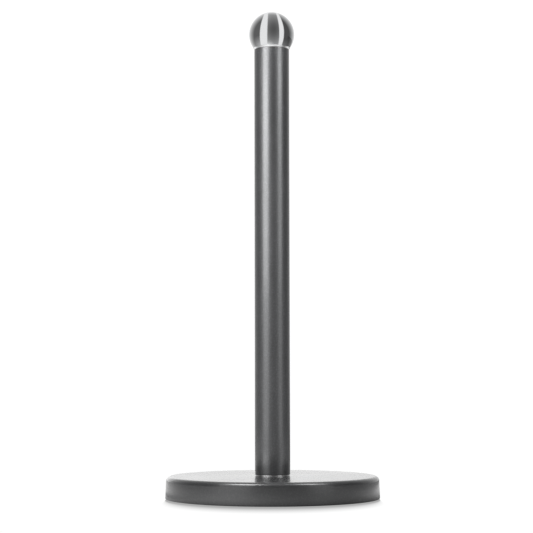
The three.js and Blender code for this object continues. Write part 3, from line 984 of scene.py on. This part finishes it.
def floor_finish():
    """Pale floor with a painted soft shadow in front of the base, and clear from below. In
    reflections it glows as a painted pool of light, brightest round the object and fading away from
    it, with painted light slots, painted shade next to the base and a painted glow below the plate."""
    material = bpy.data.materials.new("pale floor")
    material.use_nodes = True
    tree = material.node_tree
    tree.nodes.clear()
    output = tree.nodes.new("ShaderNodeOutputMaterial")
    place = tree.nodes.new("ShaderNodeTexCoord").outputs["Object"]
    parts = tree.nodes.new("ShaderNodeSeparateXYZ")
    tree.links.new(place, parts.inputs[0])
    length = tree.nodes.new("ShaderNodeVectorMath")
    length.operation = "LENGTH"
    tree.links.new(place, length.inputs[0])
    distance = length.outputs["Value"]
    # Painted pool of light on the floor, brightest near the object.
    near = sum_node(tree, "MINIMUM", sum_node(tree, "DIVIDE", 1.0, distance), 1 / COVER_RADIUS)
    slow, quick = FLOOR_NEAR_LIGHT
    painted_light_pool = sum_node(tree, "ADD", sum_node(tree, "MULTIPLY", near, sum_node(
        tree, "ADD", sum_node(tree, "MULTIPLY", near, quick), slow)), FLOOR_FAR_LIGHT)
    # Painted light: the glow is brighter to the left, and dimmer to the right and behind.
    sideways = sum_node(tree, "DIVIDE", parts.outputs["X"], distance)
    side = ramp_node(tree, sideways, low=-0.95, high=0.6, to_low=1.8, to_high=0.7)
    backwards = sum_node(tree, "DIVIDE", parts.outputs["Y"], distance)
    dimmer = sum_node(tree, "SUBTRACT", 1.0, sum_node(
        tree, "MULTIPLY", ramp_node(tree, sideways, low=-0.2, high=0.6, to_high=0.5),
        ramp_node(tree, backwards, low=-0.1, high=0.3)))
    down = tree.nodes.new("ShaderNodeVectorMath")
    down.operation = "SUBTRACT"
    down.inputs[1].default_value = (0, 0, ball_centre)
    tree.links.new(place, down.inputs[0])
    way = tree.nodes.new("ShaderNodeVectorMath")
    way.operation = "NORMALIZE"
    tree.links.new(down.outputs[0], way.inputs[0])
    beyond, slots = use_surround(tree, way.outputs[0])
    free = sum_node(tree, "SUBTRACT", 1.0, sum_node(tree, "MULTIPLY", slots, 1 / SLOT_LIGHT))
    # Painted light slots join the glow away from the base.
    level = sum_node(
        tree, "ADD",
        sum_node(tree, "MAXIMUM", sum_node(tree, "MULTIPLY", beyond, dimmer), sum_node(
            tree, "MULTIPLY", sum_node(tree, "MULTIPLY", painted_light_pool, side), free)),
        sum_node(tree, "MULTIPLY", slots, ramp_node(tree, distance, *SLOT_START)))
    # Painted shade on the glow next to the base.
    painted_shade_near_base = ramp_node(tree, distance, COVER_RADIUS, COVER_RADIUS + UNDER_REACH, UNDER_LIGHT, 1.0)
    glow = tree.nodes.new("ShaderNodeEmission")
    # Painted glow under the bottom plate, which lights its underside.
    painted_glow_below_plate = ramp_node(tree, distance, COVER_RADIUS - 9 * MM, COVER_RADIUS - 2 * MM,
                            PLATE_LIGHT, 0.0)
    tree.links.new(sum_node(tree, "ADD", sum_node(tree, "MULTIPLY", level, painted_shade_near_base), painted_glow_below_plate),
                   glow.inputs["Strength"])
    # Painted soft shadow in front of the base, set by the distance past the cover's rim.
    forward = sum_node(tree, "MAXIMUM", sum_node(
        tree, "DIVIDE", parts.outputs["Y"], sum_node(tree, "MULTIPLY", distance, -1.0)),
        CONTACT_LEAST)
    reach = sum_node(tree, "MULTIPLY", sum_node(
        tree, "MULTIPLY", forward, forward), CONTACT_SHADOW)
    clear = sum_node(tree, "DIVIDE", sum_node(
        tree, "SUBTRACT", distance, COVER_RADIUS), reach)
    painted_contact_shadow = sum_node(tree, "SUBTRACT", 1.0, sum_node(
        tree, "MINIMUM", sum_node(tree, "MAXIMUM", clear, 0.0), 1.0))
    # The floor as the lens sees it: even white, less the painted shadow.
    seen_with_painted_shadow = tree.nodes.new("ShaderNodeEmission")
    tree.links.new(sum_node(tree, "SUBTRACT", FLOOR_LIGHT, sum_node(
        tree, "MULTIPLY", sum_node(tree, "POWER", painted_contact_shadow, CONTACT_FALL), CONTACT_DEPTH)),
        seen_with_painted_shadow.inputs["Strength"])
    ray = tree.nodes.new("ShaderNodeLightPath")
    mix = tree.nodes.new("ShaderNodeMixShader")
    tree.links.new(ray.outputs["Is Camera Ray"], mix.inputs["Fac"])
    tree.links.new(glow.outputs[0], mix.inputs[1])
    from_below = tree.nodes.new("ShaderNodeMixShader")
    tree.links.new(tree.nodes.new("ShaderNodeNewGeometry").outputs["Backfacing"],
                   from_below.inputs["Fac"])
    tree.links.new(seen_with_painted_shadow.outputs[0], from_below.inputs[1])
    tree.links.new(tree.nodes.new("ShaderNodeBsdfTransparent").outputs[0], from_below.inputs[2])
    tree.links.new(from_below.outputs[0], mix.inputs[2])
    tree.links.new(mix.outputs[0], output.inputs["Surface"])
    return material


bpy.ops.object.select_all(action="DESELECT")
bpy.ops.mesh.primitive_plane_add(size=FLOOR_SIZE, location=(0, 0, 0))
floor = bpy.context.object
floor.name = floor.data.name = "floor"
floor.data.materials.append(floor_finish())


def panel(name, place, aim, width, height, brightness, lights):
    """Rectangular light that lights only the objects given."""
    light = bpy.data.lights.new(name, "AREA")
    light.shape = "RECTANGLE"
    light.size, light.size_y = width, height
    light.energy = brightness * math.pi * width * height
    lamp = bpy.data.objects.new(name, light)
    way = Vector(aim) - Vector(place)
    facing = way.to_track_quat("-Z", "Y").to_matrix().to_4x4()
    lamp.matrix_world = Matrix.Translation(place) @ facing
    bpy.context.scene.collection.objects.link(lamp)
    receivers = bpy.data.collections.new(name + " lights")
    for piece in lights:
        receivers.objects.link(piece)
    lamp.light_linking.receiver_collection = receivers
    lamp.visible_diffuse = False
    return lamp


def upright_panel(name, first, second, reach, bottom, top, brightness, lights):
    """Upright panel beside the post, between two azimuths in degrees from the front."""
    middle, half = math.radians((first + second) / 2), math.radians((second - first) / 2)
    height = (bottom + top) / 2
    place = (reach * math.sin(middle), -reach * math.cos(middle), height)
    return panel(name, place, (0, 0, height), 2 * reach * math.tan(half), top - bottom,
                 brightness, lights)


LEFT, RIGHT = (-60, -24), (42, 65)
BESIDE, BEHIND, CLOSE = 0.27, 1.2, 0.05
PANEL_BOTTOM, PANEL_TOP = 0.01, 0.95
LEFT_STEPS, RIGHT_STEPS = (0.168, 0.28), (0.175, 0.325)
FOOT_SPAN, BACK_SPAN, COVER_SPAN = (0.018, 0.027), (0.02, 0.45), (0.28, PANEL_TOP)
RING_PANEL = (1.2, 0.2)

# Each side's panels grow dimmer towards the foot of the post.
upright_panel("left panel", *LEFT, BESIDE, LEFT_STEPS[1], PANEL_TOP, 5.4, [tube])
upright_panel("left middle panel", *LEFT, BESIDE, *LEFT_STEPS, 3.7, [tube])
upright_panel("left low panel", *LEFT, BESIDE, PANEL_BOTTOM, LEFT_STEPS[0], 0.58,
              [tube, foot_ring])
upright_panel("left foot panel", *LEFT, CLOSE, *FOOT_SPAN, 1.3, [tube])
upright_panel("right panel", *RIGHT, BESIDE, RIGHT_STEPS[1], PANEL_TOP, 3.5, [tube])
upright_panel("right middle panel", *RIGHT, BESIDE, *RIGHT_STEPS, 1.5, [tube])
upright_panel("right low panel", *RIGHT, BESIDE, PANEL_BOTTOM, RIGHT_STEPS[0], 0.22,
              [tube, foot_ring])
upright_panel("right foot panel", *RIGHT, CLOSE, *FOOT_SPAN, 0.6, [tube])
upright_panel("left cover panel", *LEFT, BESIDE, *COVER_SPAN, 9.0, [cover])
upright_panel("right cover panel", 44, 66, BESIDE, *COVER_SPAN, 8.0, [cover])
upright_panel("back panel", 170, 188, BEHIND, *BACK_SPAN, 0.17, [cover])
upright_panel("back left panel", 188, 218, BEHIND, *BACK_SPAN, 0.5, [cover])
panel("ring front panel", (0.05, -0.3, 0.1), finial_ring_high, *RING_PANEL, 1.3, [finial_ring])
panel("ring back panel", (0.05, 0.35, 0.12), finial_ring_high, *RING_PANEL, 0.8, [finial_ring])


BACKGROUND_LIGHT = 1.05


def studio_world():
    """The surround for reflections, and plain white to the lens."""
    world = bpy.data.worlds.new("studio")
    world.use_nodes = True
    tree = world.node_tree
    tree.nodes.clear()
    output = tree.nodes.new("ShaderNodeOutputWorld")
    dark, light = use_surround(tree, tree.nodes.new("ShaderNodeTexCoord").outputs["Generated"])
    glow = tree.nodes.new("ShaderNodeBackground")
    glow.inputs["Color"].default_value = (1, 1, 1, 1)
    tree.links.new(sum_node(tree, "ADD", dark, light), glow.inputs["Strength"])
    white = tree.nodes.new("ShaderNodeBackground")
    white.inputs["Color"].default_value = (1, 1, 1, 1)
    white.inputs["Strength"].default_value = BACKGROUND_LIGHT
    ray = tree.nodes.new("ShaderNodeLightPath")
    mix = tree.nodes.new("ShaderNodeMixShader")
    tree.links.new(ray.outputs["Is Camera Ray"], mix.inputs["Fac"])
    tree.links.new(glow.outputs[0], mix.inputs[1])
    tree.links.new(white.outputs[0], mix.inputs[2])
    tree.links.new(mix.outputs[0], output.inputs["Surface"])
    return world


scene = bpy.context.scene
scene.world = studio_world()
scene.view_settings.view_transform = "Standard"

LENS, SENSOR = 114.47, 36
VIEW_END = 50
CAMERA_ASIDE = -0.00409
CAMERA_PITCH = math.radians(3.508)
CAMERA_ROLL = math.radians(-0.11)

lens = bpy.data.cameras.new("camera")
lens.lens = LENS
lens.sensor_width = SENSOR
lens.clip_end = VIEW_END
camera = bpy.data.objects.new("camera", lens)
camera.matrix_world = (
    Matrix.Translation((CAMERA_ASIDE, -CAMERA_DISTANCE, CAMERA_HEIGHT))
    @ Matrix.Rotation(math.pi / 2 + CAMERA_PITCH, 4, "X")
    @ Matrix.Rotation(CAMERA_ROLL, 4, "Z"))
scene.collection.objects.link(camera)
scene.camera = camera
